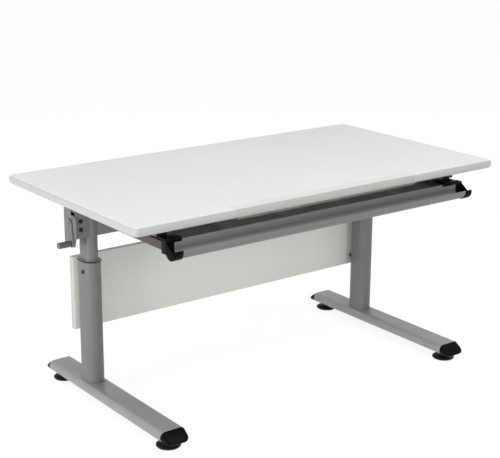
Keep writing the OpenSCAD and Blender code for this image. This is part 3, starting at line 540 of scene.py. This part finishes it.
# %% [markdown]
# ## The drawing board
# The board's edge is not flat. The band is milled to a shallow curve with a small radius along the top
# and the bottom, so it is bright near the top and falls off towards the underside. A bevel gives the two
# small radii, but it leaves the band flat between them. So a thin slab with rounded corners is the
# underside, and its upper face is extruded ring by ring. Each ring is resized to follow the band's curve.

# %% The edge band's curve
BAND_BULGE_MM = 3
BAND_RIM_MM = 1.2
BAND_LEAN = 0.7  # faces that look less than this along the thin axis belong to the band


def arc_loss(d, radius):
    """What a quarter circle takes off at a depth d inside the last stretch of its radius."""
    return radius - math.sqrt(max(radius ** 2 - max(d, 0) ** 2, 0))


def band_inset(t, thickness):
    """How far the band lies inside the outline in millimetres, from the underside (0) to the top (1)."""
    into_rim = BAND_RIM_MM - min(t, 1 - t) * thickness
    return BAND_BULGE_MM * (2 * t - 1) ** 2 + arc_loss(into_rim, BAND_RIM_MM)


def band_the_edges(obj, thin_axis, face_finish):
    """Gives a slab the finish of its faces, and the edge band all round its thin axis."""
    wear(obj, face_finish)
    # the edge faces get the band's grey, which is painted shade
    obj.data.materials.append(shaded_edge_band)
    for face in obj.data.polygons:
        if abs(face.normal[thin_axis]) < BAND_LEAN:
            face.material_index = 1


# %% Model the board
BOARD_CORNER_MM = 12
BAND_RINGS = (0.01, 0.03, 0.06, 0.12, 0.2, 0.3, 0.4, 0.5, 0.6, 0.7, 0.8, 0.88, 0.94, 0.97, 0.99, 1)

board_low, board_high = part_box("board_top")
board_size = (board_high - board_low) / MM
inset = band_inset(0, board_size.z)
slab_low = board_low + Vector((inset, inset, 0)) * MM
slab_high = board_high - Vector((inset, inset, (1 - BAND_RINGS[0]) * board_size.z)) * MM
board = block("drawing_board", slab_low, slab_high)
open_mesh(board)
pick_edges(board, lambda edge: along(edge, AXIS_Z))
round_picked(BOARD_CORNER_MM, segments=8)
pick_faces(board, lambda face: facing(face, AXIS_Z, 1))
for t0, t1 in zip(BAND_RINGS, BAND_RINGS[1:]):
    rise = (t1 - t0) * board_size.z * MM
    bpy.ops.mesh.extrude_region_move(TRANSFORM_OT_translate={"value": (0, 0, rise)})
    next_inset = band_inset(t1, board_size.z)
    grow = [(side - 2 * next_inset) / (side - 2 * inset) for side in board_size.xy]
    bpy.ops.transform.resize(value=(grow[0], grow[1], 1))
    inset = next_inset
close_mesh()
band_the_edges(board, AXIS_Z, melamine)
settle(board, "board_top", None)

# %% [markdown]
# ## The modesty panel
# The panel is melamine board too, standing upright behind the columns. Its corners stay square. Its edge
# is thin and mostly hidden, so no rings are needed here: one bevel rounds off the band's small radius.

# %% Model the panel
PANEL_RADIUS_MM = 1.5

panel = block("modesty_board", *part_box("modesty_panel"))
open_mesh(panel)
bpy.ops.mesh.select_all(action="SELECT")
round_picked(PANEL_RADIUS_MM, segments=3)
close_mesh()
# the panel's faces wear the melamine copy with painted shade
band_the_edges(panel, AXIS_Y, shaded_panel_melamine)
settle(panel, "modesty_panel", None)

# %% [markdown]
# ## The clear strip
# The strip is a bent acrylic angle: a lap that lies on the board and a leg that hangs in front of its
# edge. Two joined blocks would leave a seam inside clear plastic. So one flat block is cut where the leg
# starts, and the front part of its underside is extruded down.

# %% Model the strip
STRIP_EDGE_MM = 0.5
SHARP = math.radians(60)

strip_low, strip_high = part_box("edge_strip")
strip = block("clear_strip", (strip_low.x, strip_low.y, board_high.z), strip_high)
open_mesh(strip)
bpy.ops.mesh.select_all(action="SELECT")
bpy.ops.mesh.bisect(plane_co=(0, board_low.y, 0), plane_no=(0, 1, 0))
pick_faces(strip, lambda face: facing(face, AXIS_Z, -1) and face.calc_center_median().y < board_low.y)
leg = strip_low.z - board_high.z
bpy.ops.mesh.extrude_region_move(TRANSFORM_OT_translate={"value": (0, 0, leg)})
pick_edges(strip, lambda edge: edge.is_manifold and edge.calc_face_angle(0) > SHARP)
round_picked(STRIP_EDGE_MM, segments=2)
close_mesh()
settle(strip, "edge_strip", acrylic)

# %% [markdown]
# ## End caps of the floor beams
# Each cap starts with the beam's flat oval section and falls away to a low nose, flat underneath. A
# bevelled wedge comes close, but its nose would be straight. So a thin block gets full-round sides, and
# its outer face is extruded ring by ring. Each ring is moved down by half of what it loses in height, so
# that the underside stays level until the nose rolls up. A cap is modelled once for the left beam and
# copied to the right one.

# %% Shape of an end cap
FLANK_MM = 14.4
CAP_RINGS = (0.04, 0.14, 0.26, 0.38, 0.5, 0.61, 0.71, 0.8, 0.87, 0.92, 0.96, 0.985, 1)
SLOPE_MM = 17
ROLL_MM = 5
ROLL_POWER = 2.6
CORNER_MM = 16
WAIST = 0.45  # width lost for each millimetre of height


def cap_section(t, length, width, height):
    """Width, bottom and top of a cap's section in millimetres, from the joint (0) to the tip (1)."""
    drop = SLOPE_MM * t + ROLL_MM * t ** ROLL_POWER
    narrow = WAIST * drop + 2 * arc_loss(t * length - length + CORNER_MM, CORNER_MM)
    lift = arc_loss(t * length - length + ROLL_MM, ROLL_MM)
    return width - narrow, lift, height - drop


def end_cap(low, high, out):
    """One cap between two corners, with its nose at the front (-1) or the rear (1)."""
    size = (high - low) / MM
    joint = high.y if out < 0 else low.y
    start = joint + out * CAP_RINGS[0] * size.y * MM
    corners = sorted((joint, start))
    cap = block("end_cap", (low.x, corners[0], low.z), (high.x, corners[1], high.z))
    open_mesh(cap)
    pick_edges(cap, lambda edge: along(edge, AXIS_Y))
    round_picked(FLANK_MM, segments=10)
    pick_faces(cap, lambda face: facing(face, AXIS_Y, out))
    wide, bottom, top = size.x, 0, size.z
    for t0, t1 in zip(CAP_RINGS, CAP_RINGS[1:]):
        new_wide, new_bottom, new_top = cap_section(t1, size.y, size.x, size.z)
        rise = (new_bottom + new_top - bottom - top) / 2
        step = (0, out * (t1 - t0) * size.y * MM, rise * MM)
        bpy.ops.mesh.extrude_region_move(TRANSFORM_OT_translate={"value": step})
        bpy.ops.transform.resize(value=(new_wide / wide, 1, (new_top - new_bottom) / (top - bottom)))
        wide, bottom, top = new_wide, new_bottom, new_top
    close_mesh()
    return cap


# %% Model the end caps
CAP_SMOOTH_DEG = 50


def join(name, pieces):
    """Several objects as one piece."""
    deselect()
    for piece in pieces:
        piece.select_set(True)
    bpy.context.view_layer.objects.active = pieces[0]
    bpy.ops.object.join()
    pieces[0].name = name
    return pieces[0]


def end_caps(node, out):
    """A cap on the left beam and its copy on the right one, at the front or the rear, as one piece."""
    low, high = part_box(node)
    beam_low, beam_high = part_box("foot_beam_left")
    y0, y1 = (low.y, beam_low.y) if out < 0 else (beam_high.y, high.y)
    cap = end_cap(Vector((beam_low.x, y0, beam_low.z)), Vector((beam_high.x, y1, beam_high.z)), out)
    bpy.ops.object.duplicate(linked=False)
    copy = bpy.context.object
    copy.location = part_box("foot_beam_right")[0] - beam_low
    bpy.ops.object.transform_apply(location=True, rotation=True, scale=True)
    settle(join(node + "_rolled", [cap, copy]), node, gloss_black, CAP_SMOOTH_DEG)


end_caps("foot_caps_front", -1)
end_caps("foot_caps_rear", 1)

# %% [markdown]
# ## The crank's grip
# The grip is turned on its axle by hand, so it is a slim barrel with rounded ends and a recess for the
# axle's head. Spinning a profile would give it too. Here a disc is extruded along the axle ring by ring,
# and each new ring is resized by a formula, as one would shape it on a lathe, because the recess is then
# just one more extrusion.

# %% Shape of the grip
grip_low, grip_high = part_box("crank_grip")
grip_axis = (grip_low + grip_high) / 2
grip_length = grip_high.x - grip_low.x
grip_radius = (grip_high.z - grip_low.z) / 2
BARREL = 0.06  # share of the radius that the swell loses at each end
GRIP_END_MM = 2.5
GRIP_END_LOSS = 0.3  # share of the radius that the rounding takes off at the very end


def barrel_radius(t):
    """The grip's radius from one end (0) to the other (1): a swell with rounded ends."""
    from_end = min(t, 1 - t) * grip_length / (GRIP_END_MM * MM)
    rounding = 1 - GRIP_END_LOSS * max(0.0, 1 - from_end) ** 2
    return grip_radius * (1 - BARREL * (2 * t - 1) ** 2) * rounding


# %% Model the grip
GRIP_SIDES = 40
GRIP_RINGS = 12
GRIP_ENDS = (0, 0.02, 0.04, 0.07)
RECESS_RADIUS_MM = 5.3
RECESS_DEPTH_MM = 4

deselect()
bpy.ops.mesh.primitive_circle_add(
    vertices=GRIP_SIDES, radius=barrel_radius(0), fill_type="NGON",
    location=(grip_high.x, grip_axis.y, grip_axis.z), rotation=(0, -math.pi / 2, 0),
)
grip = bpy.context.object
grip.name = "barrel_grip"
bpy.ops.object.transform_apply(location=True, rotation=True, scale=True)
open_mesh(grip)
pick_faces(grip, lambda face: True)
stations = list(GRIP_ENDS)
stations += [i / GRIP_RINGS for i in range(1, GRIP_RINGS)]
stations += [1 - t for t in reversed(GRIP_ENDS)]
for t0, t1 in zip(stations, stations[1:]):
    step = (t0 - t1) * grip_length
    bpy.ops.mesh.extrude_region_move(TRANSFORM_OT_translate={"value": (step, 0, 0)})
    grow = barrel_radius(t1) / barrel_radius(t0)
    bpy.ops.transform.resize(value=(1, grow, grow))
bpy.ops.mesh.inset(thickness=barrel_radius(1) - RECESS_RADIUS_MM * MM)
bpy.ops.mesh.extrude_region_move(TRANSFORM_OT_translate={"value": (RECESS_DEPTH_MM * MM, 0, 0)})
bpy.ops.mesh.select_all(action="SELECT")
bpy.ops.mesh.normals_make_consistent(inside=False)
close_mesh()
settle(grip, "crank_grip", grip_grey)

# %% [markdown]
# ## Rounded edges on folded, sawn and moulded parts
# CAD edges are perfectly sharp, and nothing real is. These parts could be modelled anew, but the CAD
# shape is right and only lacks its radii. A copy of a node's mesh is merged, its flat triangles are
# dissolved into clean faces, and a Bevel modifier rounds what is left of its edges. The width follows how
# the part is made: tube corners are generous, punched plates have hardly any radius, mouldings lie in
# between.

# %% Copy and round a CAD shape
MERGE_MM = 0.02
FLAT_DEG = 0.5


def merged_copy(node, name):
    """A copy of a node's mesh with its loose triangles joined into clean faces."""
    copy = bpy.data.objects.new(name, nodes[node].data.copy())
    bpy.context.scene.collection.objects.link(copy)
    open_mesh(copy)
    bpy.ops.mesh.select_all(action="SELECT")
    bpy.ops.mesh.remove_doubles(threshold=MERGE_MM * MM)
    bpy.ops.mesh.dissolve_limited(angle_limit=math.radians(FLAT_DEG))
    close_mesh()
    return copy


def round_edges(obj, width_mm, segments=3, angle_deg=38):
    """Rounds all edges sharper than an angle with a Bevel modifier."""
    bevel = obj.modifiers.new("rounded_edges", "BEVEL")
    bevel.width = width_mm * MM
    bevel.segments = segments
    bevel.limit_method = "ANGLE"
    bevel.angle_limit = math.radians(angle_deg)
    bevel.use_clamp_overlap = True
    bpy.context.view_layer.objects.active = obj
    bpy.ops.object.modifier_apply(modifier=bevel.name)


# %% Round the edges of the CAD shapes
EDGE_MM = {
    "foot_beam_left": 0.5, "foot_beam_right": 0.5,
    "column_collars": 1.5,
    "crossbar": 3.0, "gear_housing_left": 2.0, "gear_housing_right": 2.0,
    "end_plate_left": 0.8, "end_plate_right": 0.8, "crank_arm": 2.6,
    "support_arm_left": 1.2, "support_arm_right": 1.2, "arm_plugs": 1.0,
    "stay_clamps": 1.2, "clamp_lever_left": 1.5, "clamp_lever_right": 1.5,
    "tilt_stay_left": 0.6, "tilt_stay_right": 0.6,
    "hinge_bracket_left": 0.5, "hinge_bracket_right": 0.5,
    "drawer_runners": 0.6, "drawer_sides": 0.6, "drawer_back": 0.4, "drawer_tray": 0.8,
    "pencil_gutter": 0.8, "gutter_caps": 0.9,
    "panel_spacers": 0.6, "nut_posts": 0.8, "spindle_nuts": 1.0,
}

for node, width in EDGE_MM.items():
    piece = merged_copy(node, node + "_rounded")
    round_edges(piece, width)
    settle(piece, node, finish_of(node))

# %% [markdown]
# ## Two-coloured collars
# The collar at the top of each outer column guides the inner one. Its rim is black, and the bush inside
# the rim is a light grey, so from the side only a thin dark line shows. Only the bush's top is seen, so
# it needs no mesh of its own: the faces that look up, but not outwards, get the grey as a second finish
# of the same piece.

# %% Colour the tops of the collars
LOOKS_UP = 0.3  # the least upward share of a normal
OUTWARDS_MM = 0.01  # the most that a normal may point away from the column's middle

collars = bpy.data.objects["column_collars_rounded"]
collars.data.materials.append(tray_grey)
column_boxes = [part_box("outer_column_" + side) for side in ("left", "right")]
column_middles = [(low + high) / 2 for low, high in column_boxes]


def on_the_bush(face):
    """True for a face of the grey bush: it looks up, and not away from the middle of its column."""
    offsets = [(face.center - middle).xy for middle in column_middles]
    away = min(offsets, key=lambda offset: offset.length)
    return face.normal.z > LOOKS_UP and away.dot(face.normal.xy) < OUTWARDS_MM * MM


bush_faces = [face for face in collars.data.polygons if on_the_bush(face)]
for face in bush_faces:
    face.material_index = 1
print("coloured", len(bush_faces), "faces of", collars.name)

# %% [markdown]
# ## Heads of screws and bolts
# The panel's screws and the bolts of the housings and arms have rounded heads with a hexagon socket. A
# socket could be inset and extruded in each head's face, but that depends on how the face is split. A
# six-sided cylinder that a Boolean modifier takes away works on any head. The nodes hold several separate
# bolts, so one joined set of cutters does them all.

# %% Cut the sockets
HEAD_EDGE_MM = 0.8
HEADS_APART_MM = 4
SAME_LEVEL_MM = 0.5
SOCKET_MM = 2.4
SOCKET_DEPTH_MM = 1.8


def head_places(obj, axis, sign):
    """Middles of the outermost faces that look along an axis, one for each bolt."""
    ends = [Vector(face.center) for face in obj.data.polygons if facing(face, axis, sign)]
    reach = max(end[axis] * sign for end in ends)
    found = []
    for end in ends:
        outermost = reach - end[axis] * sign < SAME_LEVEL_MM * MM
        if outermost and all((end - other).length > HEADS_APART_MM * MM for other in found):
            found.append(end)
    return found


def socket_heads(node, axis, sign):
    """Rounds the heads of a node's bolts and sinks a hexagon socket in each."""
    piece = merged_copy(node, node + "_socketed")
    tops = head_places(piece, axis, sign)
    round_edges(piece, HEAD_EDGE_MM)
    outwards = Vector([sign if i == axis else 0 for i in range(3)])
    turn = Vector((0, 0, 1)).rotation_difference(outwards)
    cutters = []
    for top in tops:
        deselect()
        bpy.ops.mesh.primitive_cylinder_add(
            vertices=6, radius=SOCKET_MM * MM, depth=2 * SOCKET_DEPTH_MM * MM,
            location=top, rotation=turn.to_euler(),
        )
        cutters.append(bpy.context.object)
    cutter = join(node + "_cutter", cutters)
    bpy.ops.object.transform_apply(location=True, rotation=True, scale=True)
    cut = piece.modifiers.new("sockets", "BOOLEAN")
    cut.operation = "DIFFERENCE"
    cut.object = cutter
    cut.solver = "EXACT"
    bpy.context.view_layer.objects.active = piece
    bpy.ops.object.modifier_apply(modifier=cut.name)
    bpy.data.objects.remove(cutter)
    settle(piece, node, finish_of(node))


socket_heads("panel_screws", AXIS_Y, 1)
socket_heads("housing_bolts", AXIS_Y, -1)
socket_heads("arm_bolts", AXIS_Z, 1)

# %% [markdown]
# ## Studio
# The desk stands on a white floor in a white room. More light would whiten the background too, but it
# would wash out the white board. So the room is plain white only for the camera, for reflections and for
# light that passes through clear parts. For the light itself it is a dim grey, and soft lamps do the
# work. The floor is mostly white for the camera too, but a part of it is real diffuse paint, so that the
# glides keep a faint shadow.

# %% The white room
WHITE = (1, 1, 1, 1)
AMBIENT = 0.48

scene = bpy.context.scene
scene.view_settings.view_transform = "Standard"


def seen_directly(tree):
    """1 for camera, glossy and transmitted rays, 0 for the rays that light the scene."""
    path = add_node(tree, "ShaderNodeLightPath").outputs
    seen_or_mirrored = add_node(tree, "ShaderNodeMath", {
        0: path["Is Camera Ray"], 1: path["Is Glossy Ray"],
    }, operation="MAXIMUM")
    return add_node(tree, "ShaderNodeMath", {
        0: seen_or_mirrored, 1: path["Is Transmission Ray"],
    }, operation="MAXIMUM")


world = bpy.data.worlds.new("white_studio")
scene.world = world
world.use_nodes = True
sky = world.node_tree
sky.nodes.clear()
lighting = add_node(sky, "ShaderNodeBackground", {"Color": WHITE, "Strength": AMBIENT})
backdrop = add_node(sky, "ShaderNodeBackground", {"Color": WHITE, "Strength": 1.0})
room = add_node(sky, "ShaderNodeMixShader", {"Fac": seen_directly(sky), 1: lighting, 2: backdrop})
add_node(sky, "ShaderNodeOutputWorld", {"Surface": room})
print("made", world.name)

# %% The floor
FLOOR_SIZE = 40
FLOOR_GLOW = 0.86
FLOOR_PAINT = 0.25

deselect()
bpy.ops.mesh.primitive_plane_add(size=FLOOR_SIZE, location=(0, 0, 0))
floor = bpy.context.object
floor.name = "studio_floor"
floor_white = bpy.data.materials.new("studio_floor_white")
floor_white.use_nodes = True
tree = floor_white.node_tree
tree.nodes.clear()
paint = add_node(tree, "ShaderNodeBsdfDiffuse", {"Color": linear("#f4f4f4")})
glow = add_node(tree, "ShaderNodeEmission", {"Color": WHITE, "Strength": FLOOR_GLOW})
thin_paint = add_node(tree, "ShaderNodeBsdfDiffuse", {
    "Color": (FLOOR_PAINT, FLOOR_PAINT, FLOOR_PAINT, 1),
})
shown = add_node(tree, "ShaderNodeAddShader", {0: glow, 1: thin_paint})
surface = add_node(tree, "ShaderNodeMixShader", {"Fac": seen_directly(tree), 1: paint, 2: shown})
add_node(tree, "ShaderNodeOutputMaterial", {"Surface": surface})
wear(floor, floor_white)
print("made", floor.name)

# %% [markdown]
# Three soft lamps light the desk: one low on the left, which brightens the board's left edge, a large one
# far in front and one high in front of the board. Each has a place, a size in metres and a power in
# watts.

# %% Lamps
LAMPS = {
    "left_softbox": ((-3.2, -0.4, 0.9), 1.6, 54),
    "front_softbox": ((-0.8, -6.5, 2.0), 3.0, 72),
    "high_front_softbox": ((0.5, -1.6, 2.9), 2.2, 33),
}
LAMP_TARGET = Vector((0, 0, 0.45))

for name, (lamp_place, lamp_size, power) in LAMPS.items():
    deselect()
    bpy.ops.object.light_add(type="AREA", location=lamp_place)
    lamp = bpy.context.object
    lamp.name = name
    lamp.data.size = lamp_size
    lamp.data.energy = power
    aim = LAMP_TARGET - Vector(lamp_place)
    lamp.rotation_mode = "QUATERNION"
    lamp.rotation_quaternion = aim.to_track_quat("-Z", "Y")
print("studio with", len(LAMPS), "lamps")
